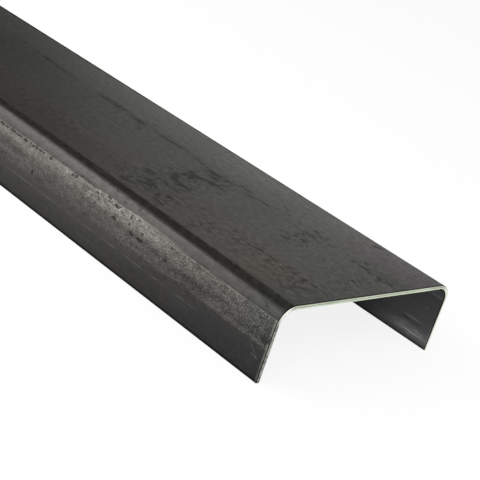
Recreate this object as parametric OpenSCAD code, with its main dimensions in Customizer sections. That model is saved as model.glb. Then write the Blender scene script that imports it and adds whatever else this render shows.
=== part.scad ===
// Steel channel: one strip of hot-rolled sheet, bent along two lines into a U and
// sawn to length. It stands on the edges of its flanges, with the web on top.
// Millimetres. X runs along the stock, Y across the web and Z up. The origin lies
// on the ground, midway along the length and midway between the flanges.

/* [Section] */
// Width over the outsides of the flanges
web_width = 100; // [60:1:200]
// Height from the flange edges to the top of the web
flange_height = 30; // [20:1:80]
// Thickness of the sheet
sheet_thickness = 1.75; // [1:0.05:3]
// Radius on the inside of each bend
bend_inside_radius = 6; // [2:0.25:10]
// Rounding left by the slitting knives on the flange edges
slit_edge_radius = 0.3; // [0.1:0.05:0.45]

/* [Stock] */
// Length of the piece as it is sold
stock_length = 1000; // [250:10:3000]
// Chamfer filed on the sawn ends to take off the burr
deburr_chamfer = 0.25; // [0.1:0.05:0.45]

/* [Hidden] */
$fn = 96;

// Each bend's two faces are arcs about one line.
bend_outside_radius = bend_inside_radius + sheet_thickness;
bend_center_y = web_width / 2 - bend_outside_radius;
bend_center_z = flange_height - bend_outside_radius;

// The flat stretch of the web between the two bends
module web_section() {
    translate([-bend_center_y, flange_height - sheet_thickness])
        square([2 * bend_center_y, sheet_thickness]);
}

// A quarter turn of sheet that leads from the web into the right flange
module bend_section() {
    translate([bend_center_y, bend_center_z])
        intersection() {
            difference() {
                circle(r = bend_outside_radius);
                circle(r = bend_inside_radius);
            }
            square(bend_outside_radius);
        }
}

// The right flange, straight down from its bend, with both corners of its slit edge rounded
module flange_section() {
    flat_edge = sheet_thickness - 2 * slit_edge_radius;
    translate([web_width / 2 - sheet_thickness, 0]) {
        translate([0, slit_edge_radius])
            square([sheet_thickness, bend_center_z - slit_edge_radius]);
        translate([slit_edge_radius, 0])
            square([flat_edge, 2 * slit_edge_radius]);
        for (corner = [0, 1])
            translate([slit_edge_radius + corner * flat_edge, slit_edge_radius])
                circle(r = slit_edge_radius);
    }
}

// The bent strip seen from its end, with Y to the right and Z up
module channel_section() {
    web_section();
    for (side = [0, 1])
        mirror([side, 0]) {
            bend_section();
            flange_section();
        }
}

// Section of the file's cut: a square on its corner, centred on the edge that it breaks
module deburr_cut() {
    rotate(45) square(deburr_chamfer * sqrt(2), center = true);
}

// The file's path round one face of the bent strip at the plane x = 0, from flange edge to
// flange edge, for the face that turns round the bend lines at the given radius
module deburr_path(face_radius) {
    translate([0, bend_center_y, bend_center_z + face_radius])
        rotate([90, 0, 0])
            linear_extrude(height = 2 * bend_center_y)
                deburr_cut();
    for (side = [0, 1])
        mirror([0, side, 0])
            translate([0, bend_center_y, bend_center_z]) {
                rotate([90, 0, 90])
                    rotate_extrude(angle = 90)
                        translate([face_radius, 0])
                            deburr_cut();
                translate([0, face_radius, -bend_center_z - deburr_chamfer])
                    linear_extrude(height = bend_center_z + deburr_chamfer)
                        deburr_cut();
            }
}

module channel() {
    color("dimgray")
        difference() {
            rotate([90, 0, 90])
                linear_extrude(height = stock_length, center = true)
                    channel_section();
            for (end = [-1, 1], face_radius = [bend_inside_radius, bend_outside_radius])
                translate([end * stock_length / 2, 0, 0])
                    deburr_path(face_radius);
        }
}

channel();
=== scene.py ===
import bpy
import math
from mathutils import Matrix, Vector


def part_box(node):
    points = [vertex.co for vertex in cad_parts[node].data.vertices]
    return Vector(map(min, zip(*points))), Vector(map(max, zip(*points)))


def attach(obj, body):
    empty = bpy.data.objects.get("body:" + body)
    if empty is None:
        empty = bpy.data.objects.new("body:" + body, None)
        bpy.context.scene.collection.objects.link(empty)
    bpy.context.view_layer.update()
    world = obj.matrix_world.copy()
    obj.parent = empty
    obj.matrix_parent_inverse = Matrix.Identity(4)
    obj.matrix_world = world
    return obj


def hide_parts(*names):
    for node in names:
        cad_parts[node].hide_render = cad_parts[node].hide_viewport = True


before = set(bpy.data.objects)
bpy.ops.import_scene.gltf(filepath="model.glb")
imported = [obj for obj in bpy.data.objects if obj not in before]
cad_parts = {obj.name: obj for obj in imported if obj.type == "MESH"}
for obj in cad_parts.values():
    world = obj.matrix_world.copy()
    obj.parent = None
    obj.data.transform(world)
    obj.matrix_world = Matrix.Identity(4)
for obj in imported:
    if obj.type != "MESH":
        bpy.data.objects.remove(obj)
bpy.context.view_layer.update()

mm = 0.001

# sizes of the bent strip that the box alone doesn't give, in metres
strip = {
    "gauge": 1.75 * mm,
    "bendInside": 6 * mm,
    "slitRound": 0.3 * mm,
    "deburr": 0.25 * mm,
    "bendSteps": 15,  # 6 degrees each
    "dieMarkStep": 12,  # the die's shoulder marks both bends at 72 degrees
    "dieMarkHalfWidth": 0.3 * mm,
    "dieMarkDepth": 0.02 * mm,
    "supportGap": 0.5 * mm,  # edge loops beside the bends keep the flats flat
    "lengthCuts": 19,
}

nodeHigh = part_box("channel")[1]
halfLength = nodeHigh.x
halfWidth = nodeHigh.y
topZ = nodeHigh.z
bendOutside = strip["bendInside"] + strip["gauge"]
bendY = halfWidth - bendOutside
bendZ = topZ - bendOutside
bendArc = bendOutside * math.pi / 2
near = 0.02 * mm  # points closer than this lie in one place


# edit mode helpers

def deselectAll():
    bpy.ops.object.select_all(action="DESELECT")


def activeMesh():
    return bpy.context.object.data


def objectMode():
    bpy.ops.object.mode_set(mode="OBJECT")


def editMode(selectMode):
    bpy.ops.object.mode_set(mode="EDIT")
    bpy.ops.mesh.select_mode(type=selectMode)
    bpy.ops.mesh.select_all(action="DESELECT")


def selectFaces(test):
    editMode("FACE")
    objectMode()
    for face in activeMesh().polygons:
        face.select = test(face)
    bpy.ops.object.mode_set(mode="EDIT")


def selectEdges(test):
    editMode("EDGE")
    objectMode()
    mesh = activeMesh()
    for edge in mesh.edges:
        a, b = (mesh.vertices[i].co for i in edge.vertices)
        edge.select = test(edge, a, b)
    bpy.ops.object.mode_set(mode="EDIT")


def bevelEdges(width, segments):
    bpy.ops.mesh.bevel(offset=width, segments=segments, affect="EDGES")
    objectMode()


def cutAll(point, normal):
    bpy.ops.mesh.select_all(action="SELECT")
    bpy.ops.mesh.bisect(plane_co=point, plane_no=normal)


# the channel's mesh

def bendSide(side):
    # the web's side face turns about the bend line, then runs down as the flange
    selectFaces(lambda face: face.normal.y * side > 0.9 and face.center.y * side > bendY - near)
    bpy.ops.mesh.spin(
        steps=strip["bendSteps"],
        angle=side * math.pi / 2,
        center=(0, side * bendY, bendZ),
        axis=(1, 0, 0),
    )
    bpy.ops.mesh.extrude_region_move(TRANSFORM_OT_translate={"value": (0, 0, -bendZ)})
    objectMode()


def roundSlitEdges():
    selectEdges(lambda edge, a, b: max(a.z, b.z) < near and abs(a.x - b.x) > halfLength)
    bevelEdges(strip["slitRound"], 4)


def deburrEnds():
    mesh = activeMesh()
    endFaces = [face for face in mesh.polygons if abs(face.normal.x) > 0.9]
    uses = {}
    for face in endFaces:
        for key in face.edge_keys:
            uses[key] = uses.get(key, 0) + 1
    rim = {key for key, count in uses.items() if count == 1}
    selectEdges(lambda edge, a, b: edge.key in rim)
    bevelEdges(strip["deburr"], 2)


def pressDieMarks():
    # a fine groove along the outside of each bend
    markAngle = strip["dieMarkStep"] / strip["bendSteps"] * math.pi / 2
    for side in (-1, 1):
        outward = Vector((0, side * math.sin(markAngle), math.cos(markAngle)))
        place = Vector((0, side * bendY, bendZ)) + outward * bendOutside

        def onMark(edge, a, b):
            return all(math.hypot(v.y - place.y, v.z - place.z) < near for v in (a, b))

        selectEdges(onMark)
        bevelEdges(strip["dieMarkHalfWidth"], 2)
        selectEdges(onMark)
        bpy.ops.transform.translate(value=outward * -strip["dieMarkDepth"])
        objectMode()


def addLoops():
    editMode("VERT")
    for side in (-1, 1):
        cutAll((0, side * (bendY - strip["supportGap"]), 0), (0, 1, 0))
    cutAll((0, 0, bendZ - strip["supportGap"]), (0, 0, 1))
    pitch = 2 * halfLength / (strip["lengthCuts"] + 1)
    for i in range(strip["lengthCuts"]):
        cutAll((pitch * (i + 1) - halfLength, 0, 0), (1, 0, 0))
    objectMode()


def acrossStrip(point):
    # place across the strip as if it lay flat, from the middle of the web
    y = abs(point.y)
    if y <= bendY:
        across = y
    elif point.z >= bendZ:
        across = bendY + bendOutside * math.atan2(y - bendY, point.z - bendZ)
    else:
        across = bendY + bendArc + bendZ - point.z
    return math.copysign(across, point.y)


def layStripMap(piece):
    # u runs along the strip and v across it, both in metres
    layer = piece.data.uv_layers.new(name="stripMap")
    for loop in piece.data.loops:
        place = piece.data.vertices[loop.vertex_index].co
        layer.uv[loop.index].vector = (place.x, acrossStrip(place))


def modelChannel():
    deselectAll()
    bpy.ops.mesh.primitive_cube_add(
        size=1,
        calc_uvs=False,
        location=(0, 0, topZ - strip["gauge"] / 2),
        scale=(2 * halfLength, 2 * bendY, strip["gauge"]),
    )
    piece = bpy.context.object
    piece.name = "steel_channel"
    bpy.ops.object.transform_apply(location=True, rotation=True, scale=True)
    for side in (-1, 1):
        bendSide(side)
    editMode("VERT")
    bpy.ops.mesh.select_all(action="SELECT")
    bpy.ops.mesh.remove_doubles(threshold=0.001 * mm)
    bpy.ops.mesh.normals_make_consistent(inside=False)
    objectMode()
    roundSlitEdges()
    pressDieMarks()
    deburrEnds()
    addLoops()
    bpy.ops.object.shade_smooth_by_angle(angle=math.radians(30))
    layStripMap(piece)
    return piece


# node helpers

def addNode(tree, kind, inputs=None, **settings):
    node = tree.nodes.new(kind)
    for name, value in settings.items():
        setattr(node, name, value)
    for name, value in (inputs or {}).items():
        plug(tree, value, node.inputs[name])
    return node


def plug(tree, value, socket):
    if isinstance(value, bpy.types.NodeSocket):
        tree.links.new(value, socket)
    else:
        socket.default_value = value


def doMath(tree, operation, *values):
    return addNode(tree, "ShaderNodeMath", dict(enumerate(values)), operation=operation).outputs[0]


def vectorMath(tree, operation, *values):
    return addNode(tree, "ShaderNodeVectorMath", dict(enumerate(values)), operation=operation).outputs


def multiply(tree, first, *others):
    product = first
    for other in others:
        product = doMath(tree, "MULTIPLY", product, other)
    return product


def scaleAdd(tree, value, factor, plus):
    return doMath(tree, "MULTIPLY_ADD", value, factor, plus)


def offCenter(tree, value):
    # a noise value as a swing to either side of 0
    return doMath(tree, "SUBTRACT", value, 0.5)


def fade(tree, value, low, high):
    # 0 at low, 1 at high, eased in between
    node = addNode(
        tree,
        "ShaderNodeMapRange",
        {"Value": value, "From Min": low, "From Max": high},
        interpolation_type="SMOOTHSTEP",
    )
    return node.outputs["Result"]


def blendColor(tree, factor, a, b, blendType="MIX"):
    node = addNode(tree, "ShaderNodeMix", {0: factor, 6: a, 7: b}, data_type="RGBA", blend_type=blendType)
    return node.outputs[2]


def multiplyColor(tree, a, b):
    return blendColor(tree, 1.0, a, b, "MULTIPLY")


def layOver(tree, color, over, *shares):
    # a second colour over the first, by the product of the shares
    return blendColor(tree, multiply(tree, *shares), color, over)


def blendValue(tree, factor, a, b):
    return addNode(tree, "ShaderNodeMix", {0: factor, 2: a, 3: b}, data_type="FLOAT").outputs[0]


def noise(tree, vector, stretch, detail=3.0, roughness=0.55, offset=(0, 0, 0)):
    # stretch is cycles per metre along and across the strip
    place = addNode(tree, "ShaderNodeMapping", {"Vector": vector, "Scale": stretch, "Location": offset})
    node = addNode(
        tree,
        "ShaderNodeTexNoise",
        {"Vector": place.outputs[0], "Scale": 1.0, "Detail": detail, "Roughness": roughness},
    )
    return node.outputs["Fac"]


def toneRamp(tree, place, stops):
    # a grey level from (place in mm, level) stops
    first, last = stops[0][0], stops[-1][0]
    spread = addNode(
        tree,
        "ShaderNodeMapRange",
        {"Value": place, "From Min": first * mm, "From Max": last * mm},
    )
    ramp = addNode(tree, "ShaderNodeValToRGB", {"Fac": spread.outputs["Result"]})
    elements = ramp.color_ramp.elements
    elements.remove(elements[1])
    for i, (at, level) in enumerate(stops):
        share = (at - first) / (last - first)
        element = elements[0] if i == 0 else elements.new(share)
        element.position = share
        element.color = gray(level)
    return ramp.outputs["Color"]


def gray(level, tint=(1, 1, 1)):
    return (level * tint[0], level * tint[1], level * tint[2], 1)


def newGroup(name, inputs, outputs):
    tree = bpy.data.node_groups.new(name, "ShaderNodeTree")
    for label, kind in inputs.items():
        tree.interface.new_socket(name=label, in_out="INPUT", socket_type=kind)
    for label, kind in outputs.items():
        tree.interface.new_socket(name=label, in_out="OUTPUT", socket_type=kind)
    source = tree.nodes.new("NodeGroupInput").outputs
    sink = tree.nodes.new("NodeGroupOutput").inputs
    return tree, source, sink


def useGroup(tree, name, inputs):
    return addNode(tree, "ShaderNodeGroup", inputs, node_tree=groups[name]).outputs


scalar = "NodeSocketFloat"
vector3 = "NodeSocketVector"


def makeStripPlace():
    # where a point lies on the flat strip
    tree, _, sink = newGroup(
        "stripPlace",
        {},
        {"Place": vector3, "Along": scalar, "Across": scalar, "Sideways": scalar, "FromEnd": scalar},
    )
    flat = addNode(tree, "ShaderNodeUVMap", uv_map="stripMap").outputs[0]
    apart = addNode(tree, "ShaderNodeSeparateXYZ", {"Vector": flat}).outputs
    tree.links.new(flat, sink["Place"])
    tree.links.new(apart["X"], sink["Along"])
    tree.links.new(apart["Y"], sink["Across"])
    tree.links.new(doMath(tree, "ABSOLUTE", apart["Y"]), sink["Sideways"])
    fromMiddle = doMath(tree, "ABSOLUTE", apart["X"])
    tree.links.new(doMath(tree, "SUBTRACT", halfLength, fromMiddle), sink["FromEnd"])
    return tree


def makeSmudge():
    # one soft oval on the strip, turned as seen with the front end to the right
    tree, source, sink = newGroup(
        "smudge",
        {"Place": vector3, "Center": vector3, "Reach": vector3, "Turn": scalar, "Strength": scalar},
        {"Mask": scalar},
    )
    center = source["Center"]
    turned = addNode(
        tree,
        "ShaderNodeVectorRotate",
        {"Vector": source["Place"], "Center": center, "Angle": source["Turn"]},
        rotation_type="Z_AXIS",
    )
    away = vectorMath(tree, "SUBTRACT", turned.outputs[0], center)[0]
    share = vectorMath(tree, "DIVIDE", away, source["Reach"])[0]
    soft = fade(tree, vectorMath(tree, "LENGTH", share)["Value"], 1.6, 0.4)  # 1 is the oval's outline
    tree.links.new(multiply(tree, soft, source["Strength"]), sink["Mask"])
    return tree


def makeFlakes():
    # ragged patches of thin scale, fullest where the mask is
    tree, source, sink = newGroup(
        "rolledFlakes", {"Place": vector3, "Mask": scalar}, {"Flakes": scalar}
    )
    torn = noise(tree, source["Place"], (260, 420, 1), detail=5, roughness=0.65)
    level = scaleAdd(tree, source["Mask"], 0.3, torn)
    ragged = fade(tree, level, 0.645, 0.68)
    tree.links.new(multiply(tree, ragged, fade(tree, source["Mask"], 0.03, 0.2)), sink["Flakes"])
    return tree


def makeDashes():
    # small dark dashes along the strip, thickest where the mask is
    tree, source, sink = newGroup("rollDashes", {"Place": vector3, "Mask": scalar}, {"Dashes": scalar})
    strokes = noise(tree, source["Place"], (380, 640, 1), detail=2, offset=(8.3, 1.9, 0))
    level = scaleAdd(tree, source["Mask"], 0.2, strokes)
    dashes = multiply(tree, fade(tree, level, 0.7, 0.76), fade(tree, source["Mask"], 0.02, 0.15))
    tree.links.new(dashes, sink["Dashes"])
    return tree


def makeGrain():
    # pale speckle of worn scale, and small dark pits
    tree, source, sink = newGroup(
        "wornGrain", {"Place": vector3, "Patchy": scalar}, {"Grain": scalar, "Pits": scalar}
    )
    fine = noise(tree, source["Place"], (1350, 1650, 1), detail=2, roughness=0.6)
    broad = noise(tree, source["Place"], (22, 170, 1), detail=4, roughness=0.6, offset=(5, 2, 0))
    both = scaleAdd(tree, offCenter(tree, broad), source["Patchy"], fine)
    tree.links.new(fade(tree, both, 0.38, 0.72), sink["Grain"])
    spots = noise(tree, source["Place"], (330, 560, 1), detail=2, offset=(1.7, 9.2, 0))
    cluster = noise(tree, source["Place"], (24, 60, 1), detail=1, offset=(6.5, 2.4, 0))
    level = scaleAdd(tree, cluster, 0.3, spots)
    tree.links.new(fade(tree, level, 0.84, 0.88), sink["Pits"])
    return tree


def makeBand():
    # a band along the strip between two places across it, with uneven edges
    tree, source, sink = newGroup(
        "acrossBand",
        {
            "Place": vector3,
            "Sideways": scalar,
            "Low": scalar,
            "High": scalar,
            "Soft": scalar,
            "Uneven": scalar,
        },
        {"Mask": scalar},
    )
    wobble = noise(tree, source["Place"], (55, 200, 1), detail=4, roughness=0.65)
    shift = multiply(tree, offCenter(tree, wobble), source["Uneven"])
    place = doMath(tree, "ADD", source["Sideways"], shift)
    lowEdge = fade(tree, place, source["Low"], doMath(tree, "ADD", source["Low"], source["Soft"]))
    highEdge = fade(tree, place, source["High"], doMath(tree, "SUBTRACT", source["High"], source["Soft"]))
    tree.links.new(multiply(tree, lowEdge, highEdge), sink["Mask"])
    return tree


def makeSawnEdge():
    # beside a sawn end: a dark edge, and a thin line that the file bared on the flange
    tree, source, sink = newGroup(
        "sawnEdge",
        {"Place": vector3, "FromEnd": scalar, "Sideways": scalar, "Width": scalar},
        {"Edge": scalar, "Filed": scalar},
    )
    wobble = noise(tree, source["Place"], (90, 160, 1), detail=3)
    place = scaleAdd(tree, offCenter(tree, wobble), 0.9 * mm, source["FromEnd"])
    line = multiply(tree, fade(tree, place, 0.2 * mm, 0.4 * mm), fade(tree, place, 1.2 * mm, 0.6 * mm))
    broken = fade(tree, noise(tree, source["Place"], (40, 260, 1), detail=3, offset=(7, 1, 0)), 0.3, 0.55)
    turned = fade(tree, source["Sideways"], 51.6 * mm, 52.4 * mm)
    tree.links.new(multiply(tree, line, broken, turned), sink["Filed"])
    soft = multiply(tree, source["Width"], 0.65)
    tree.links.new(fade(tree, source["FromEnd"], source["Width"], soft), sink["Edge"])
    return tree


groups = {
    "place": makeStripPlace(),
    "smudge": makeSmudge(),
    "flakes": makeFlakes(),
    "dashes": makeDashes(),
    "grain": makeGrain(),
    "band": makeBand(),
    "sawnEdge": makeSawnEdge(),
}
print("node groups made")


# materials

def newMaterial(name, metallic):
    material = bpy.data.materials.new(name)
    material.use_nodes = True
    shader = material.node_tree.nodes["Principled BSDF"]
    shader.inputs["Metallic"].default_value = metallic
    return material.node_tree, shader, material


# the mill scale outside
outer = {
    "metallic": 0.9,
    "edgeTint": 0.6,  # keeps the oxide from mirroring at a low angle
    "roughness": 0.36,
    "relief": 0.012 * mm,
    "dark": 0.012,
    "bare": (0.43, 0.425, 0.385, 1),
    # grey levels across the web, and down bend and flange, in mm from the middle of the web
    # the web grows paler toward the far bend, in part a painted sheen
    "webTones": (
        (-43, 0.068), (-30, 0.071), (5, 0.075), (17, 0.081), (22, 0.094), (36, 0.109), (43, 0.12),
    ),
    # down the flange: darker on the bend, in part a painted dark reflection; darker toward the foot, a
    # painted shade; nearly black at the slit edge, a painted contact shadow
    "flangeTones": (
        (46.3, 0.064), (47.4, 0.08), (49, 0.07), (50.4, 0.059), (51, 0.057), (51.3, 0.064),
        (51.8, 0.165), (54.5, 0.178), (57, 0.135), (59, 0.11), (61, 0.1), (63, 0.079),
        (64.2, 0.075), (65, 0.07), (70, 0.055), (75.2, 0.043), (75.9, 0.012),
    ),
    # near an end the same, with the same painted reflection, shade and contact shadow
    "flangeEndTones": (
        (46.3, 0.038), (47.4, 0.046), (48.3, 0.062), (49.3, 0.051), (50.4, 0.046), (51.7, 0.05),
        (52.5, 0.116), (54, 0.118), (58, 0.083), (61, 0.069), (62.6, 0.084), (63.5, 0.06),
        (64.1, 0.044), (75.2, 0.033), (75.9, 0.012),
    ),
    "endReach": (12 * mm, 115 * mm),  # from an end, where its tones go over into the others
    "endLift": (0.5, 0.2),  # the web is paler near its ends, less so on the right
    "endLiftAcross": (12 * mm, 26 * mm),
    "endLiftReach": 75 * mm,
    "bendToneAcross": (43 * mm, 48 * mm),
    # films of oxide
    "tint": (1.0, 1.0, 0.9),
    "filmTint": (1.0, 0.985, 0.895),
    "tintWander": 30 * mm,
    "webEndTint": (1.0, 1.0, 0.928),
    "webEndReach": (55 * mm, 15 * mm),
    "brownTint": (1.03, 0.97, 0.84),  # on the left half of the web
    "brownAcross": (-8 * mm, -22 * mm),
    "brownReach": (6 * mm, 20 * mm),
    "pinkTint": (1.03, 0.965, 0.965),  # on the right half, near an end
    "pinkAcross": (14 * mm, 26 * mm),
    "pinkReach": (50 * mm, 25 * mm),
    "clusterTint": (0.98, 1.0, 0.905),  # among the flakes
    "bendTint": (1.03, 1.0, 0.92),
    "bendEndTint": (1.0, 1.0, 0.945),
    "bendEndReach": (8 * mm, 20 * mm),
    "bendTintAcross": (43 * mm, 46 * mm),
    "stripTint": (1.015, 0.99, 0.91),  # below the worn band
    "stripEndTint": (1.02, 0.985, 0.985),
    "stripTintAcross": (63 * mm, 67 * mm),
    # mottling, lines and marks
    "burnished": (44 * mm, 51.8 * mm),  # the die smoothed the scale on the bends
    "lineDepth": (0.3, 1.1),  # plain, and there
    "fineMottle": (1.5, 2.9),  # plain, and where loose scale flecks the web
    "bendMottle": 1.0,
    "stripMottle": 0.65,  # below the worn band
    "stripMottleAcross": (63 * mm, 66 * mm),
    "markRepeat": 290 * mm,
    "markRag": (18 * mm, 6 * mm),
    "stainFall": 0.32,
    "clearLift": 0.13,  # how much paler the clear places on the web are
    "flakeShare": 0.38,
    "dashShare": 0.5,
    "dashTint": (1.25, 1.0, 0.85),
    # a painted dark reflection where each bend starts
    "darkReflectionBand": (42.3 * mm, 47 * mm),
    "darkReflectionLevel": 0.0135,
    "darkReflectionTint": (1.05, 1.0, 0.84),
    "darkReflectionShare": (-0.55, 1.17),  # thinner where the fine mottling is pale
    "darkReflectionDrop": 1.1 * mm,  # it lies lower near an end, and is wider there
    "darkReflectionWiden": 0.85 * mm,
    "farStripe": (42.3 * mm, 43.7 * mm),  # it starts sooner on the right
    "farDarkReflectionFoot": (46.6 * mm, 45.4 * mm),
    "farDarkReflectionShift": (-0.6 * mm, 1.1 * mm),  # less so near an end, more so further in
    "farStripeReach": (10 * mm, 330 * mm),
    # the worn band, from its top to its foot
    "wornBand": (51.95 * mm, 64.4 * mm),
    "wornTint": (0.98, 0.97, 0.965),
    "wornRise": 0.55 * mm,  # its top lies higher further in
    "wornTopSoft": 0.5 * mm,
    "wornTopRag": 0.3,
    "wornFootRise": 0.9 * mm,  # and its foot near an end
    "wornFootReach": (20 * mm, 50 * mm),
    "wornFootSoft": (0.6 * mm, 3.2 * mm),  # near an end, further in
    "rubLift": 0.85 * mm,  # how far it spreads up where it is rubbed
    "rubTop": 53.5 * mm,
    "paleRise": 0.45,  # how much paler it is there
    "grainPatchy": (0.45, 0.5),  # near an end, further in, and so for the next two
    "speckleDepth": (1.1, 0.75),
    "speckleBase": (0.6, 0.72),
    "endShade": 0.25,
    "endShadeReach": (1.5 * mm, 6 * mm),
    "pitFineness": 2.2,
    "pitGain": 1.3,
    "pitShare": 0.72,
    # pale lines and sawn ends
    "crease": (52.1 * mm, 52.5 * mm),
    "creaseReach": (65 * mm, 35 * mm),  # it shows near an end, and again further in
    "creaseBack": (115 * mm, 150 * mm),
    "creaseShare": (0.04, 0.4),  # in between, and there
    "paleLine": (67.4 * mm, 67.8 * mm),
    "paleLineReach": (20 * mm, 60 * mm),
    "paleLineShare": 0.25,
    "scuffShare": 0.24,
    "sawnDark": (0.5 * mm, 0.3 * mm),  # on the web, on the flanges
    "sawnAcross": (48 * mm, 52 * mm),
    "filedShare": (0.36, 0.2),  # high on the flange, low on it
    "filedAcross": (62 * mm, 74 * mm),
}

# marks: mm from the front end, mm across, half length, half width, turn in degrees, strength
flakeMarks = (
    (255, 21, 14, 1.6, -5, 0.3), (226, 18.4, 14, 1.5, -4, 0.8),
    (186, 17, 2, 1.2, 0, 0.75), (181, 17.5, 5, 2.4, 0, 0.55), (171.5, 17, 5, 2.8, 0, 0.6),
    (157.5, 16.3, 6, 2.4, 0, 0.7), (154, 22, 2.2, 0.7, -20, 0.8), (150, 9.3, 5, 1.2, -35, 0.7),
    (141, 16.2, 5, 1.6, 0, 0.6), (131, 16.6, 6.5, 1.3, 0, 0.8), (182, 4.5, 3, 0.5, -40, 0.5),
    (113.5, 14.6, 6, 0.9, -14, 0.8), (105, 13, 3, 2.2, -20, 0.75), (100, 11.5, 7, 3.5, -10, 0.55),
    (94, 12.8, 4, 1.2, -25, 0.75), (96, 8.8, 8, 2, -15, 0.5), (90.5, 13.8, 2, 0.8, -25, 0.8),
    (88, 17, 5, 1, -5, 0.95), (81, 13.3, 4, 1.1, 10, 0.9), (73, 15.2, 3.2, 0.9, 0, 0.9),
    (89.5, 8.5, 3, 1.2, 35, 0.6),
    (93, 3.8, 5.5, 2.6, 25, 0.95), (99, 1, 5, 1.8, 10, 0.9), (90, 6, 3.5, 1, -20, 0.8),
    (103, -2.5, 3.6, 4.3, 0, 1.0), (97.3, -4.6, 2.6, 1.1, -20, 0.9), (109.5, 0.8, 2.5, 0.8, -15, 0.75),
    (106, -8.3, 3.5, 0.9, -25, 0.7), (102.5, -10.8, 4, 1.6, -35, 0.95), (98.5, -13, 3.5, 1.6, -30, 0.9),
    (92.5, -14, 4.5, 1.5, 0, 0.9), (88.5, -12.2, 1.8, 1.4, 30, 0.8), (88, -17, 0.8, 2.5, 0, 0.75),
    (93, -17.3, 4, 0.8, -20, 0.5), (98, -16.5, 1.2, 2, 30, 0.5), (105, -21, 5.5, 1.5, -5, 0.95),
    (94, -20.9, 7, 0.9, -3, 0.85), (88, -22.5, 1, 1.6, 0, 0.6), (109, -25, 2.5, 1, 35, 0.9),
    (97, -24.5, 6, 0.7, -10, 0.5), (99.5, -27.7, 3.4, 1.4, 10, 0.9), (96, -31, 2.2, 3, -25, 1.0),
    (94, -29, 1.2, 2.5, 20, 0.6), (82.5, -30, 4.5, 0.9, -5, 0.85), (87, -32.5, 0.9, 2.6, 0, 0.7),
    (86, -35, 1.2, 1.8, 0, 0.6), (98.5, -38, 5.5, 0.8, 8, 0.8), (82, -38.5, 3.5, 0.9, 0, 0.9),
    (109.5, -32, 2.5, 0.8, -45, 0.7), (109, -38, 1.3, 2, 0, 0.4), (102, -34, 4, 2, 0, 0.35),
    (69.3, 24, 1.3, 0.6, -40, 0.9), (66.2, 20.6, 1.3, 0.6, -30, 0.85), (65, 16.2, 1.2, 0.5, -45, 0.9),
    (60, 20.3, 2.5, 0.5, 0, 0.7), (56.3, 18, 1.2, 0.5, -40, 0.7), (48.3, 15, 1.2, 0.6, -40, 0.9),
    (44, 18.3, 6, 1.2, -8, 0.7), (38.5, 16.5, 2, 0.9, -10, 0.75), (46, 13.5, 4, 0.8, -20, 0.5),
    (46, 10, 5, 1.4, -25, 0.55), (44, 5, 6, 2, -20, 0.5), (53, 5, 1.5, 0.5, -30, 0.7),
    (45, 0, 6, 1.8, -15, 0.55), (44.5, -2.4, 5, 0.8, -12, 0.7), (54.5, -20.5, 2.5, 2.5, -30, 0.6),
    (32.5, 40, 3, 2.2, 0, 0.75), (37.5, 31, 1.4, 2, 25, 0.35), (22, 32, 1.5, 3.5, 0, 0.4),
    (18, 15, 8, 1.5, 0, 0.85), (7, 14.6, 7, 1.5, 0, 0.75), (21.5, 20.5, 1.2, 2.5, 0, 0.5),
    (10, 19, 3, 4, -20, 0.35), (28, 1, 1.6, 0.4, -40, 0.8), (10, 0.6, 1.5, 1.1, -20, 0.8),
    (10.5, 7, 1.3, 3, 0, 0.4), (9, -30, 2.5, 4, 0, 0.55), (9, -22, 4, 1.5, 0, 0.4),
)
dashMarks = (
    (193, -23.5, 5, 1.3, 0, 0.8), (165, -28, 22, 7, 0, 0.6), (150, 12, 10, 8, 0, 0.35),
    (99, -10, 13, 26, 0, 0.75), (99, -33, 14, 9, 0, 0.9), (82, -33, 8, 8, 0, 0.9),
    (60, -33, 6, 8, 0, 1.0), (45, -26, 9, 7, 0, 0.85), (45, 8, 7, 13, 0, 0.7),
    (30, -24.5, 24, 4, 0, 0.75), (13, -28, 7, 12, 0, 0.75), (9.5, -2, 2.6, 20, 0, 0.7),
    (20, 20, 3, 7, 0, 0.7), (41, -37, 3, 3, 0, 0.7), (31, -36, 2, 2, 0, 0.7),
    (97, -54, 18, 3.4, 0, 0.65), (86, -49, 12, 2.2, 0, 0.55), (146.5, -35.4, 4.5, 1.2, 0, 0.8),
    (141.5, -11, 3.5, 1, 0, 0.75), (6.5, -50.2, 2, 1.6, 0, 0.8),
)
stainMarks = (
    (275, 0, 45, 70, 0, 0.38), (41, -60.2, 8, 1.8, 0, 0.9), (40, -52.6, 4.5, 1.2, 0, 0.8),
    (110, -52.2, 5, 1.1, 0, 0.6), (79.3, -48.2, 0.8, 1.2, 0, 0.9), (87, -48.5, 1.2, 0.5, 0, 0.7),
    (240, 19, 32, 2.5, -4, 0.4), (182, -8, 1.1, 24, 6.5, 0.4), (150, 17, 34, 2.5, 0, 0.25),
    (181, 17.5, 5.5, 2.8, 0, 0.75), (171.5, 16.8, 5, 2.9, 0, 0.9), (157, 16.7, 5.5, 2.7, 0, 0.95),
    (141, 16.6, 7, 2.3, 0, 0.6), (131, 17, 6.5, 1.7, 0, 0.75), (81, 13.8, 4.5, 1.4, 10, 0.6),
    (145, -33, 32, 9, 0, 0.37), (98, -13, 11, 25, 0, 0.14), (100, 10.8, 8.5, 4.3, 0, 0.65),
    (89, -32, 3.5, 5, 0, 0.45), (55, -21.5, 56, 1.5, 0, 0.37), (45, -15, 6, 30, 0, 0.19),
    (9, -15, 3, 28, 0, 0.12), (8, 19, 10, 4, 0, 0.5),
    (44.5, 8, 6, 12, 0, 0.34), (21.5, 20.5, 2.2, 4.5, 0, 0.43), (60, -27, 60, 7, 0, 0.16),
)
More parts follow.
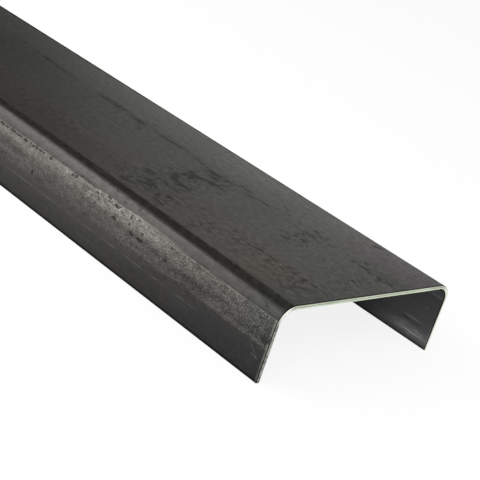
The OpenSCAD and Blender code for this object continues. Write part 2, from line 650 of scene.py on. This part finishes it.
liftMarks = (
    (102, 36, 20, 11, 0, 1.0), (91, -5.5, 3.5, 3, 0, 0.5), (79, -3, 5, 12, 0, 0.45),
    (78, -23, 4, 6, 0, 0.55), (148, -24, 12, 3, 0, 0.8), (60, -22, 5, 4, 0, 0.8),
    (46, -68.5, 9, 3, 0, 1.0),
)
clusterMarks = ((98, -9, 13, 28, 0, 1.0),)
rubMarks = ((70, -50.6, 14, 2.2, 0, 1.0), (93, -50.8, 8, 1.8, 0, 0.6))
paleMarks = (
    (76, -53.8, 21, 3.2, 0, 1.0), (143, -54.4, 16, 2, 0, 0.3), (153, -63.3, 11, 1.3, 0, 0.65),
    (121, -52.6, 8, 1.2, 0, 0.4), (49, -55.8, 12, 2.2, 0, 0.5), (70, -63.4, 14, 1.1, 0, 0.8),
    (173, -53.8, 9, 2, 0, 0.4), (174, -62.5, 9, 2, 0, 0.5),
)
scuffMarks = ((7.4, -66.6, 0.5, 1.4, 0, 1.0), (6, -65.2, 1.3, 0.4, 0, 0.9), (5.4, -68.2, 1.8, 0.4, 0, 0.9))
pitMarks = (
    (167, -52.3, 1.8, 0.5, 0, 0.85), (163.3, -52.3, 1.2, 0.4, 0, 0.85), (158.6, -52.2, 1.8, 0.45, 0, 0.85),
    (154.5, -52.3, 2.2, 0.45, 0, 0.85), (150, -52.4, 1.5, 0.65, 0, 0.85), (146.6, -52.2, 0.7, 0.35, 0, 1.0),
    (144.3, -52.5, 0.7, 0.6, 0, 1.0), (142.2, -52.3, 0.7, 0.7, 0, 1.0), (139.5, -52.2, 1.2, 0.35, 0, 0.85),
    (137.3, -52.3, 0.8, 0.35, 0, 1.0), (132.3, -52.4, 0.8, 0.7, 0, 1.0),
    (117.3, -52.6, 0.7, 0.6, 0, 1.0), (115.2, -52.4, 0.8, 0.6, 0, 1.0), (112.5, -50.8, 1, 0.4, 0, 0.5),
    (101, -52.5, 0.8, 0.5, 0, 0.8), (94.5, -51.4, 1.4, 0.4, -15, 0.9), (94, -52.5, 1, 0.4, 0, 0.9),
    (89, -52.5, 1.6, 0.6, 0, 1.0), (87.5, -52, 0.8, 0.3, 10, 0.9), (80, -52.5, 0.5, 0.8, 0, 1.0),
    (75.7, -51.9, 0.7, 0.4, 0, 0.8), (72.2, -55.7, 0.7, 0.5, 0, 1.0), (80, -55.5, 0.5, 0.5, 0, 0.8),
    (56, -53, 0.6, 0.4, 0, 0.8), (88.5, -57.2, 1.6, 0.7, 0, 0.75), (77.5, -58.3, 2.2, 0.7, -5, 0.75),
    (73, -58.5, 2.2, 0.7, 5, 0.75), (57.5, -59, 0.9, 0.6, 0, 0.5), (140.8, -62.7, 0.7, 1.3, 0, 0.5),
    (159.7, -62, 0.6, 1.2, 0, 0.45),
)


def markPlace(tree, where, ragAlong, ragAcross):
    # the marks go to and fro along the strip, with ragged outlines
    fromFront = doMath(tree, "SUBTRACT", halfLength, where["Along"])
    folded = doMath(tree, "PINGPONG", fromFront, outer["markRepeat"])
    shifts = []
    for i, rag in enumerate((ragAlong, ragAcross)):
        wave = noise(tree, where["Place"], (80, 190, 1), detail=4, roughness=0.65, offset=(3 * i, 5, 0))
        shifts.append(multiply(tree, offCenter(tree, wave), rag))
    along = doMath(tree, "ADD", folded, shifts[0])
    across = doMath(tree, "ADD", where["Across"], shifts[1])
    return addNode(tree, "ShaderNodeCombineXYZ", {"X": along, "Y": across}).outputs[0]


def markMask(tree, place, marks):
    mask = 0.0
    for along, across, reachAlong, reachAcross, turn, strength in marks:
        oval = useGroup(
            tree,
            "smudge",
            {
                "Place": place,
                "Center": (along * mm, across * mm, 0),
                "Reach": (reachAlong * mm, reachAcross * mm, 1),
                "Turn": math.radians(turn),
                "Strength": strength,
            },
        )["Mask"]
        mask = doMath(tree, "MAXIMUM", mask, oval)
    return mask


def stripBand(tree, where, low, high, soft, uneven):
    return useGroup(
        tree,
        "band",
        {
            "Place": where["Place"],
            "Sideways": where["Sideways"],
            "Low": low,
            "High": high,
            "Soft": soft,
            "Uneven": uneven,
        },
    )["Mask"]


def looseFlakes(tree, place, mask):
    return useGroup(tree, "flakes", {"Place": place, "Mask": mask})["Flakes"]


def sawnEnd(tree, where, color, width, filedShare, bare, dark):
    # the line that the file bared and the dark edge beside a sawn end
    sawn = useGroup(
        tree,
        "sawnEdge",
        {name: where[name] for name in ("Place", "FromEnd", "Sideways")} | {"Width": width},
    )
    color = layOver(tree, color, bare, sawn["Filed"], filedShare)
    return layOver(tree, color, dark, sawn["Edge"], 0.8)


def outerTone(tree, where, inward, lifted):
    flange = blendColor(
        tree,
        inward,
        toneRamp(tree, lifted, outer["flangeEndTones"]),
        toneRamp(tree, lifted, outer["flangeTones"]),
    )
    onRight = fade(tree, where["Across"], *outer["endLiftAcross"])
    nearEnd = fade(tree, where["FromEnd"], outer["endLiftReach"], 0)
    lift = scaleAdd(tree, nearEnd, blendValue(tree, onRight, *outer["endLift"]), 1.0)
    web = multiplyColor(tree, toneRamp(tree, where["Across"], outer["webTones"]), lift)
    return blendColor(tree, fade(tree, where["Sideways"], *outer["bendToneAcross"]), web, flange)


def liftedPlace(tree, where, rubbed):
    # place across for the top of the worn band, which spreads up the bend where it is rubbed
    raised = scaleAdd(tree, rubbed, outer["rubLift"], where["Sideways"])
    raised = doMath(tree, "MINIMUM", raised, outer["rubTop"])
    return doMath(tree, "MAXIMUM", raised, where["Sideways"])


def outerTint(tree, where, inward, raggedPlace):
    # thin films of oxide: a little browner, pinker or more neutral from place to place
    def tintOf(name):
        return gray(1, outer[name])

    def within(place, name):
        return fade(tree, place, *outer[name])

    fromEnd, sideways = where["FromEnd"], where["Sideways"]
    film = fade(tree, noise(tree, where["Place"], (9, 16, 1), detail=2, offset=(2.2, 4.1, 0)), 0.4, 0.6)
    wander = noise(tree, where["Place"], (20, 30, 1), detail=3, offset=(7.7, 3.1, 0))
    across = scaleAdd(tree, offCenter(tree, wander), outer["tintWander"], where["Across"])
    brown = multiply(tree, within(across, "brownAcross"), within(fromEnd, "brownReach"))
    pink = multiply(tree, within(across, "pinkAcross"), within(fromEnd, "pinkReach"))
    tint = tintOf("tint")
    for share, name in (
        (film, "filmTint"),
        (within(fromEnd, "webEndReach"), "webEndTint"),
        (brown, "brownTint"),
        (pink, "pinkTint"),
        (markMask(tree, raggedPlace, clusterMarks), "clusterTint"),
    ):
        tint = blendColor(tree, share, tint, tintOf(name))
    bend = blendColor(tree, within(fromEnd, "bendEndReach"), tintOf("bendEndTint"), tintOf("bendTint"))
    tint = blendColor(tree, within(sideways, "bendTintAcross"), tint, bend)
    lower = blendColor(tree, inward, tintOf("stripEndTint"), tintOf("stripTint"))
    return blendColor(tree, within(sideways, "stripTintAcross"), tint, lower)


def darkReflectionMask(tree, where, inward):
    # a painted dark reflection along each bend, lower and wider near an end, and sooner on the right
    outward = doMath(tree, "SUBTRACT", inward, 1.0)
    dropped = scaleAdd(tree, outward, outer["darkReflectionDrop"], where["Sideways"])
    low, high = outer["darkReflectionBand"]
    low = blendValue(tree, inward, low - outer["darkReflectionWiden"], low)
    lower = {"Place": where["Place"], "Sideways": dropped}
    darkReflection = stripBand(tree, lower, low, high, 1.5 * mm, 0.8 * mm)
    further = fade(tree, where["FromEnd"], *outer["farStripeReach"])
    across = doMath(tree, "ADD", where["Across"], blendValue(tree, further, *outer["farDarkReflectionShift"]))
    far = multiply(
        tree,
        fade(tree, across, *outer["farStripe"]),
        fade(tree, where["Sideways"], *outer["farDarkReflectionFoot"]),
    )
    return doMath(tree, "MAXIMUM", darkReflection, far)


def wornMask(tree, where, inward, raggedPlace, lifted):
    # straight at the crease and ragged lower down
    top, foot = outer["wornBand"]
    crossed = addNode(tree, "ShaderNodeSeparateXYZ", {"Vector": raggedPlace}).outputs["Y"]
    ragged = doMath(tree, "ABSOLUTE", crossed)
    rag = multiply(tree, inward, outer["wornTopRag"])
    loose = blendValue(tree, rag, lifted, doMath(tree, "MAXIMUM", ragged, lifted))
    raisedTop = scaleAdd(tree, inward, -outer["wornRise"], top)
    upper = fade(tree, loose, raisedTop, doMath(tree, "ADD", raisedTop, outer["wornTopSoft"]))
    further = fade(tree, where["FromEnd"], *outer["wornFootReach"])
    raisedFoot = blendValue(tree, further, foot - outer["wornFootRise"], foot)
    soft = blendValue(tree, inward, *outer["wornFootSoft"])
    softFoot = doMath(tree, "ADD", raisedFoot, multiply(tree, soft, 0.4))
    lower = fade(tree, ragged, softFoot, doMath(tree, "SUBTRACT", softFoot, soft))
    return multiply(tree, upper, lower)


def addPaleLines(tree, where, inward, color):
    # along the strip: the crease at the top of the worn band, pale as bared scale and in part as a painted
    # highlight, and one line below it
    spot, fromEnd, bare = where["Place"], where["FromEnd"], outer["bare"]
    patches = noise(tree, spot, (140, 4, 1), detail=4, roughness=0.7, offset=(3, 8, 0))
    patches = fade(tree, patches, 0.4, 0.62)
    raised = scaleAdd(tree, inward, outer["wornRise"], where["Sideways"])
    higher = {"Place": spot, "Sideways": raised}
    crease = stripBand(tree, higher, *outer["crease"], 0.18 * mm, 0.3 * mm)
    faint, plain = outer["creaseShare"]
    share = blendValue(tree, fade(tree, fromEnd, *outer["creaseReach"]), faint, plain)
    share = blendValue(tree, fade(tree, fromEnd, *outer["creaseBack"]), share, plain)
    color = layOver(tree, color, bare, crease, patches, share)
    line = stripBand(tree, where, *outer["paleLine"], 0.15 * mm, 0.2 * mm)
    farther = fade(tree, fromEnd, *outer["paleLineReach"])
    return layOver(tree, color, bare, line, farther, patches, outer["paleLineShare"])


def makeOuterScale():
    metallic = outer["metallic"]
    tree, shader, material = newMaterial("outer_scale", metallic)
    shader.inputs["Specular Tint"].default_value = gray(outer["edgeTint"])
    shader.inputs["Specular IOR Level"].default_value = 0.0
    where = useGroup(tree, "place", {})
    spot, sideways, fromEnd = where["Place"], where["Sideways"], where["FromEnd"]
    inward = fade(tree, fromEnd, *outer["endReach"])
    raggedPlace = markPlace(tree, where, *outer["markRag"])
    plainPlace = markPlace(tree, where, 0, 0)
    dark = gray(outer["dark"], outer["tint"])
    bare = outer["bare"]

    # broad mottling, fine lines from the rolls
    mottle = noise(tree, spot, (14, 34, 1), detail=4)
    lines = noise(tree, spot, (4, 520, 1), detail=3)
    shade = scaleAdd(tree, mottle, 0.3, 0.85)
    smooth = stripBand(tree, where, *outer["burnished"], 1.5 * mm, 0.5 * mm)
    lineDepth = blendValue(tree, smooth, *outer["lineDepth"])
    shade = scaleAdd(tree, offCenter(tree, lines), lineDepth, shade)

    # fine mottling, soft stains and clear places
    flecked = markMask(tree, raggedPlace, dashMarks)
    fine = noise(tree, spot, (330, 420, 1), detail=4, roughness=0.6, offset=(4.4, 6.1, 0))
    below = fade(tree, sideways, *outer["stripMottleAcross"])
    fineDepth = blendValue(tree, flecked, *outer["fineMottle"])
    fineDepth = blendValue(tree, smooth, fineDepth, outer["bendMottle"])
    fineDepth = blendValue(tree, below, fineDepth, outer["stripMottle"])
    shade = scaleAdd(tree, offCenter(tree, fine), fineDepth, shade)
    for marks, change in ((stainMarks, -outer["stainFall"]), (liftMarks, outer["clearLift"])):
        shade = multiply(tree, shade, scaleAdd(tree, markMask(tree, raggedPlace, marks), change, 1.0))
    lifted = liftedPlace(tree, where, markMask(tree, raggedPlace, rubMarks))
    tone = multiplyColor(tree, outerTone(tree, where, inward, lifted), shade)
    color = multiplyColor(tree, tone, outerTint(tree, where, inward, raggedPlace))

    # dark flakes and dashes of loose scale, and the painted dark reflections on the bends
    flakes = looseFlakes(tree, spot, markMask(tree, raggedPlace, flakeMarks))
    color = layOver(tree, color, dark, flakes, outer["flakeShare"])
    dashes = useGroup(tree, "dashes", {"Place": spot, "Mask": flecked})["Dashes"]
    dashColor = gray(outer["dark"], outer["dashTint"])
    color = layOver(tree, color, dashColor, dashes, outer["dashShare"])
    darkReflection = darkReflectionMask(tree, where, inward)
    darkReflectionColor = gray(outer["darkReflectionLevel"], outer["darkReflectionTint"])
    color = layOver(tree, color, darkReflectionColor, darkReflection, scaleAdd(tree, fine, *outer["darkReflectionShare"]))

    # the worn, speckled band on each flange, and its pits
    worn = wornMask(tree, where, inward, raggedPlace, lifted)
    patchy = blendValue(tree, inward, *outer["grainPatchy"])
    grain = useGroup(tree, "grain", {"Place": spot, "Patchy": patchy})
    depth = blendValue(tree, inward, *outer["speckleDepth"])
    speckle = scaleAdd(tree, grain["Grain"], depth, blendValue(tree, inward, *outer["speckleBase"]))
    color = multiplyColor(tree, color, blendValue(tree, worn, 1.0, speckle))
    pale = scaleAdd(tree, markMask(tree, raggedPlace, paleMarks), outer["paleRise"], 1.0)
    color = blendColor(tree, worn, color, multiplyColor(tree, color, pale))
    endShade = multiply(tree, worn, outer["endShade"])
    endShade = blendValue(tree, fade(tree, fromEnd, *outer["endShadeReach"]), endShade, 0.0)
    color = blendColor(tree, endShade, color, dark)
    color = multiplyColor(tree, color, blendColor(tree, worn, gray(1), gray(1, outer["wornTint"])))
    scale = {0: spot, "Scale": outer["pitFineness"]}
    finer = addNode(tree, "ShaderNodeVectorMath", scale, operation="SCALE").outputs[0]
    pitted = multiply(tree, markMask(tree, plainPlace, pitMarks), outer["pitGain"])
    pits = looseFlakes(tree, finer, pitted)
    pits = doMath(tree, "MAXIMUM", pits, multiply(tree, grain["Pits"], worn))
    color = layOver(tree, color, dark, pits, outer["pitShare"])

    # pale lines, scuffs and sawn ends
    color = addPaleLines(tree, where, inward, color)
    scuffed = markMask(tree, raggedPlace, scuffMarks)
    color = layOver(tree, color, bare, scuffed, grain["Grain"], outer["scuffShare"])
    darkWidth = blendValue(tree, fade(tree, sideways, *outer["sawnAcross"]), *outer["sawnDark"])
    filed = blendValue(tree, fade(tree, sideways, *outer["filedAcross"]), *outer["filedShare"])
    color = sawnEnd(tree, where, color, darkWidth, filed, bare, dark)
    tree.links.new(color, shader.inputs["Base Color"])

    rough = outer["roughness"]
    for mask, change in ((mottle, 0.12), (flakes, 0.08), (worn, 0.1), (smooth, -0.1)):
        rough = scaleAdd(tree, mask, change, rough)
    tree.links.new(rough, shader.inputs["Roughness"])
    # the painted dark reflection is matte, not metal
    tree.links.new(scaleAdd(tree, darkReflection, -metallic, metallic), shader.inputs["Metallic"])

    relief = multiply(tree, grain["Grain"], worn)
    relief = doMath(tree, "SUBTRACT", relief, doMath(tree, "MAXIMUM", pits, dashes))
    height = {"Height": relief, "Strength": 0.5, "Distance": outer["relief"]}
    bump = addNode(tree, "ShaderNodeBump", height)
    tree.links.new(bump.outputs[0], shader.inputs["Normal"])
    return material


# the scale inside
inner = {
    "tint": (0.98, 1.0, 1.0),
    "edgeTint": 0.6,
    "roughness": 0.38,
    # grey level across, in mm from the middle of the web: scuffed near the flange's edge
    "endTones": (
        (40, 0.06), (50, 0.048), (62, 0.05), (67, 0.056), (69, 0.058), (71, 0.074), (73, 0.1),
        (75.2, 0.07), (76.1, 0.02),
    ),
    # both sets end nearly black at the slit edge, a painted contact shadow
    "tones": ((40, 0.06), (50, 0.048), (62, 0.046), (69, 0.04), (73, 0.051), (75.4, 0.043), (76.1, 0.02)),
    "endReach": (4 * mm, 26 * mm),
    "paintedShadeReach": (20 * mm, 36 * mm),  # painted shade deeper inside the channel, darker from here on
    "paintedShadeFall": 0.6,
    "scuffs": (66 * mm, 76 * mm),
    "scuffShare": 0.1,
    "smearRag": (8 * mm, 2 * mm),
    "smearShare": 0.36,
    "scratchRag": (2 * mm, 0.3 * mm),
    "scratchShare": 0.34,
    "soilShare": 0.35,
    "soilTint": (1.4, 1.0, 0.8),
    "sawnDark": 0.6 * mm,
    "filedShare": 0.3,
    "filedAcross": (64 * mm, 73 * mm),
    "bare": (0.4, 0.41, 0.4, 1),
    "dark": 0.01,
}

smearMarks = ((10.5, 72.2, 8.5, 1.7, 0, 0.6), (5, 71.6, 2.2, 0.7, 0, 0.8), (6.3, 60.2, 0.9, 0.8, 0, 0.2))
scratchMarks = ((8.5, 73.1, 7.5, 0.3, 0, 1.0), (3.5, 53.8, 3, 0.25, 0, 0.5), (10, 67.4, 4, 0.25, 0, 0.45))
soilMarks = ((13, 68.8, 3, 0.45, 0, 0.8), (8, 69, 2.6, 0.5, 0, 0.9), (1.8, 68.8, 1.2, 0.4, 0, 0.8))


def makeInnerScale():
    tree, shader, material = newMaterial("inner_scale", 0.9)
    shader.inputs["Specular Tint"].default_value = gray(inner["edgeTint"])
    where = useGroup(tree, "place", {})
    spot, sideways, fromEnd = where["Place"], where["Sideways"], where["FromEnd"]
    bare = inner["bare"]

    # mottled and lined, with painted shade deep inside the channel
    mottle = noise(tree, spot, (16, 40, 1), detail=4, offset=(11, 3, 0))
    lines = noise(tree, spot, (12, 480, 1), detail=4, roughness=0.65, offset=(2, 6, 0))
    shade = scaleAdd(tree, mottle, 0.4, 0.8)
    shade = doMath(tree, "ADD", shade, scaleAdd(tree, lines, 0.6, -0.3))
    paintedShade = fade(tree, fromEnd, *inner["paintedShadeReach"])
    shade = multiply(tree, shade, scaleAdd(tree, paintedShade, -inner["paintedShadeFall"], 1.0))
    tone = blendColor(
        tree,
        fade(tree, fromEnd, *inner["endReach"]),
        toneRamp(tree, sideways, inner["endTones"]),
        toneRamp(tree, sideways, inner["tones"]),
    )
    color = multiplyColor(tree, multiplyColor(tree, tone, shade), gray(1, inner["tint"]))

    # scuffs, smears and scratches near the flange's edge, and soil
    scratches = noise(tree, spot, (45, 900, 1), detail=3, offset=(5, 9, 0))
    specks = noise(tree, spot, (260, 1500, 1), detail=4, roughness=0.7, offset=(1, 4, 0))
    raggedPlace = markPlace(tree, where, *inner["smearRag"])
    straightPlace = markPlace(tree, where, *inner["scratchRag"])
    scuff = stripBand(tree, where, *inner["scuffs"], 3 * mm, 2 * mm)
    scuff = multiply(tree, scuff, fade(tree, scratches, 0.56, 0.7), inner["scuffShare"])
    smear = multiply(tree, markMask(tree, raggedPlace, smearMarks), fade(tree, specks, 0.36, 0.68))
    smear = multiply(tree, smear, inner["smearShare"])
    scratch = multiply(tree, markMask(tree, straightPlace, scratchMarks), fade(tree, specks, 0.2, 0.5))
    scratch = multiply(tree, scratch, inner["scratchShare"])
    bared = doMath(tree, "MAXIMUM", scuff, doMath(tree, "MAXIMUM", smear, scratch))
    color = blendColor(tree, bared, color, bare)
    soil = looseFlakes(tree, spot, markMask(tree, straightPlace, soilMarks))
    soilColor = gray(inner["dark"], inner["soilTint"])
    color = layOver(tree, color, soilColor, soil, inner["soilShare"])
    filed = multiply(tree, fade(tree, sideways, *inner["filedAcross"]), inner["filedShare"])
    color = sawnEnd(tree, where, color, inner["sawnDark"], filed, bare, gray(inner["dark"]))
    tree.links.new(color, shader.inputs["Base Color"])
    tree.links.new(scaleAdd(tree, mottle, 0.12, inner["roughness"]), shader.inputs["Roughness"])
    return material


# the sawn ends
cut = {
    "paleOutside": (0.62, 0.67, 0.52, 1),  # on both sides of the line that the saw left in the middle
    "paleInside": (0.72, 0.8, 0.62, 1),
    "dull": (0.46, 0.5, 0.41, 1),
    "sawLine": (0.2, 0.23, 0.18, 1),
    "sawLineDepth": (0.72 * mm, 0.82 * mm, 1.0 * mm, 1.1 * mm),
    "sawLineShare": 0.85,
    "shaded": (0.34, 0.345, 0.305, 1),  # painted shade below the left bend
    "shadedNicks": (0.145, 0.15, 0.13, 1),
    "shadedUp": (26 * mm, 22 * mm),
    "paintedHighlight": (0.95, 0.96, 0.9, 1),  # a painted highlight on one side of the flanges' cut ends
    "highlightDepth": (0.5 * mm, 1.0 * mm),
    "highlightOut": (2 * mm, 6 * mm),  # from the start of a bend
    "highlightBendUp": (2.5 * mm, 5 * mm),  # the painted highlight covers the left bend's cut end throughout
    "highlightBendAcross": (-43.5 * mm, -46 * mm),
    "roughness": 0.36,
    "highlightRoughness": 0.24,
}


def makeCutSteel():
    tree, shader, material = newMaterial("cut_steel", 1.0)
    place = addNode(tree, "ShaderNodeTexCoord").outputs["Object"]
    apart = addNode(tree, "ShaderNodeSeparateXYZ", {"Vector": place}).outputs
    y, z = apart["Y"], apart["Z"]

    # depth below the outer face, round the bends as well
    fromMiddle = doMath(tree, "ABSOLUTE", y)
    sideways = doMath(tree, "MAXIMUM", doMath(tree, "SUBTRACT", fromMiddle, bendY), 0.0)
    upward = doMath(tree, "MAXIMUM", doMath(tree, "SUBTRACT", z, bendZ), 0.0)
    corner = addNode(tree, "ShaderNodeCombineXYZ", {"X": sideways, "Y": upward}).outputs[0]
    depth = doMath(tree, "SUBTRACT", bendOutside, vectorMath(tree, "LENGTH", corner)["Value"])

    # fine lines that the saw drew along the cut
    onCut = addNode(tree, "ShaderNodeCombineXYZ", {"X": y, "Y": z, "Z": depth}).outputs[0]
    lines = noise(tree, onCut, (12, 12, 700), detail=1)
    patches = noise(tree, place, (1, 70, 70), detail=3)
    start, full, thinning, stop = cut["sawLineDepth"]
    pale = blendColor(tree, fade(tree, depth, start, stop), cut["paleOutside"], cut["paleInside"])
    clean = fade(tree, blendValue(tree, 0.6, lines, patches), 0.32, 0.62)
    color = blendColor(tree, clean, cut["dull"], pale)
    broken = fade(tree, noise(tree, onCut, (55, 55, 1), detail=2, offset=(3, 3, 0)), 0.25, 0.42)
    sawLine = multiply(tree, fade(tree, depth, start, full), fade(tree, depth, stop, thinning), broken)
    color = layOver(tree, color, cut["sawLine"], sawLine, cut["sawLineShare"])

    # painted shade, nicked, below the left bend, and a painted highlight on it and along the right flange
    onRight = fade(tree, y, -1 * mm, 1 * mm)
    onLeft = fade(tree, y, 1 * mm, -1 * mm)
    shaded = multiply(tree, onLeft, fade(tree, z, *cut["shadedUp"]))
    toRight = blendValue(tree, onRight, depth, doMath(tree, "SUBTRACT", strip["gauge"], depth))
    paintedHighlight = multiply(
        tree,
        fade(tree, toRight, *cut["highlightDepth"]),
        fade(tree, sideways, *cut["highlightOut"]),
        doMath(tree, "SUBTRACT", 1.0, shaded),
    )
    onBend = fade(tree, y, *cut["highlightBendAcross"])
    onBend = multiply(tree, fade(tree, upward, *cut["highlightBendUp"]), onBend)
    paintedHighlight = doMath(tree, "MAXIMUM", paintedHighlight, onBend)
    nicks = fade(tree, noise(tree, place, (1, 600, 900), detail=3), 0.4, 0.58)
    nicked = blendColor(tree, nicks, cut["shadedNicks"], cut["shaded"])
    color = blendColor(tree, shaded, color, nicked)
    color = blendColor(tree, paintedHighlight, color, cut["paintedHighlight"])
    tree.links.new(color, shader.inputs["Base Color"])
    rough = scaleAdd(tree, lines, 0.15, cut["roughness"])
    tree.links.new(blendValue(tree, paintedHighlight, rough, cut["highlightRoughness"]), shader.inputs["Roughness"])
    return material


def isInner(face):
    # nearer the inside of the strip than its outside
    y, z = abs(face.center.y), face.center.z
    middle = strip["gauge"] / 2
    if y <= bendY:
        return z < topZ - middle
    if z >= bendZ:
        return math.hypot(y - bendY, z - bendZ) < bendOutside - middle
    return y < halfWidth - middle


def isCut(face):
    # the sawn ends, and edges that share their colour:
    # the edge outside the right flange, with its painted highlight, and part of the one under the web
    filed = abs(face.normal.x) > 0.3 and face.center.y > halfWidth - strip["deburr"]
    filed = filed or (abs(face.normal.x) > 0.8 and face.normal.z < -0.1 and abs(face.center.y) < bendY)
    return abs(face.normal.x) > 0.95 or filed


def assignMaterials(piece):
    faceKinds = (
        (makeOuterScale(), lambda face: False),
        (makeInnerScale(), isInner),
        (makeCutSteel(), isCut),
    )
    for i, (material, test) in enumerate(faceKinds):
        piece.data.materials.append(material)
        for face in piece.data.polygons:
            if test(face):
                face.material_index = i


channel = modelChannel()
assignMaterials(channel)
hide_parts("channel")
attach(channel, "root")
print("channel modelled:", len(channel.data.polygons), "faces")


# floor, light and camera

studio = {
    "floorSize": 40,
    "paper": 0.97,
    "floorGlow": 0.85,
    "walls": 0.28,  # level of the surroundings low down
    "ring": 0.14,  # a dimmer ring above them
    "top": 0.5,  # and overhead
    "ringFade": (8, 42),
    "topFade": (42, 60),
    "panel": 1.58,  # a bright panel far off behind, in degrees round and up
    "panelRound": (-30, 138),
    "panelUp": (3.5, 30),
    "panelSoft": 1.0,
}


def sineOf(degrees):
    return math.sin(math.radians(degrees))


def makeFloor():
    deselectAll()
    bpy.ops.mesh.primitive_plane_add(size=studio["floorSize"], location=(0, 0, 0))
    floor = bpy.context.object
    floor.name = "studio_floor"
    material = bpy.data.materials.new("floor_white")
    material.use_nodes = True
    tree = material.node_tree
    tree.nodes.clear()
    paper = addNode(tree, "ShaderNodeBsdfDiffuse", {"Color": gray(studio["paper"])})
    glow = addNode(tree, "ShaderNodeEmission", {"Color": gray(1), "Strength": 1.0})
    rays = addNode(tree, "ShaderNodeLightPath").outputs
    seen = doMath(tree, "MAXIMUM", rays["Is Camera Ray"], rays["Is Glossy Ray"])
    seen = doMath(tree, "MAXIMUM", seen, rays["Is Transmission Ray"])
    share = multiply(tree, seen, studio["floorGlow"])
    top = addNode(tree, "ShaderNodeMixShader", {0: share, 1: paper.outputs[0], 2: glow.outputs[0]})
    under = addNode(tree, "ShaderNodeBsdfTransparent")
    back = addNode(tree, "ShaderNodeNewGeometry").outputs["Backfacing"]
    both = addNode(tree, "ShaderNodeMixShader", {0: back, 1: top.outputs[0], 2: under.outputs[0]})
    out = addNode(tree, "ShaderNodeOutputMaterial")
    tree.links.new(both.outputs[0], out.inputs["Surface"])
    floor.data.materials.append(material)


def panelMask(tree, place, height):
    # 1 between two directions round the object and two heights
    right, left = (math.radians(angle) for angle in studio["panelRound"])
    low, high = (sineOf(angle) for angle in studio["panelUp"])
    soft = sineOf(studio["panelSoft"])
    inside = multiply(tree, fade(tree, height, low, low + soft), fade(tree, height, high, high - soft))
    for inward in ((-math.sin(right), math.cos(right), 0), (math.sin(left), -math.cos(left), 0)):
        past = vectorMath(tree, "DOT_PRODUCT", place, inward)["Value"]
        inside = multiply(tree, inside, fade(tree, past, 0, soft))
    return inside


def makeWorld():
    world = bpy.data.worlds.new("studio")
    bpy.context.scene.world = world
    world.use_nodes = True
    tree = world.node_tree
    place = addNode(tree, "ShaderNodeTexCoord").outputs["Generated"]
    height = addNode(tree, "ShaderNodeSeparateXYZ", {"Vector": place}).outputs["Z"]
    toRing = fade(tree, height, *map(sineOf, studio["ringFade"]))
    toTop = fade(tree, height, *map(sineOf, studio["topFade"]))
    level = blendValue(tree, toRing, studio["walls"], studio["ring"])
    level = blendValue(tree, toTop, level, studio["top"])
    level = blendValue(tree, panelMask(tree, place, height), level, studio["panel"])
    seen = addNode(tree, "ShaderNodeLightPath").outputs["Is Camera Ray"]
    light = tree.nodes["Background"]
    light.inputs["Color"].default_value = gray(1)
    tree.links.new(blendValue(tree, seen, level, 1.0), light.inputs["Strength"])


softboxes = {
    "side_softbox": {
        "place": (-0.317, -0.784, 0.5125),
        "aim": (-0.156, -0.531, -0.007),
        "size": (1.54, 1.15),
        "watts": 12.2,
    },
    "front_softbox": {"place": (1.6, -1.5, 1.6), "aim": (0.4, 0, 0), "size": (2.0, 1.6), "watts": 40},
}


def makeSoftbox(name, spec):
    deselectAll()
    bpy.ops.object.light_add(type="AREA", location=spec["place"])
    lamp = bpy.context.object
    lamp.name = name
    lamp.visible_camera = False
    lamp.data.shape = "RECTANGLE"
    lamp.data.size, lamp.data.size_y = spec["size"]
    lamp.data.energy = spec["watts"]
    toward = Vector(spec["aim"]) - Vector(spec["place"])
    lamp.rotation_euler = toward.to_track_quat("-Z", "Y").to_euler()


# the camera stands off the front end, in metres and degrees, and is tilted about its view
view = {
    "fromFrontEnd": (0.2442, -0.3797, 0.2013),
    "azimuth": 39.42,
    "elevation": 20.49,
    "roll": 18.44,
    "lens": 99.3,
}


def makeCamera():
    deselectAll()
    bpy.ops.object.camera_add(location=Vector(view["fromFrontEnd"]) + Vector((halfLength, 0, 0)))
    camera = bpy.context.object
    turn = Matrix.Rotation(math.radians(view["azimuth"]), 3, "Z")
    pitch = Matrix.Rotation(math.radians(90 - view["elevation"]), 3, "X")
    tilt = Matrix.Rotation(math.radians(view["roll"]), 3, "Z")
    camera.rotation_euler = (turn @ pitch @ tilt).to_euler()
    camera.data.lens = view["lens"]
    camera.data.sensor_width = 36
    bpy.context.scene.camera = camera


makeFloor()
makeWorld()
for name, spec in softboxes.items():
    makeSoftbox(name, spec)
makeCamera()
bpy.context.scene.view_settings.view_transform = "Standard"
print("floor, light and camera set")
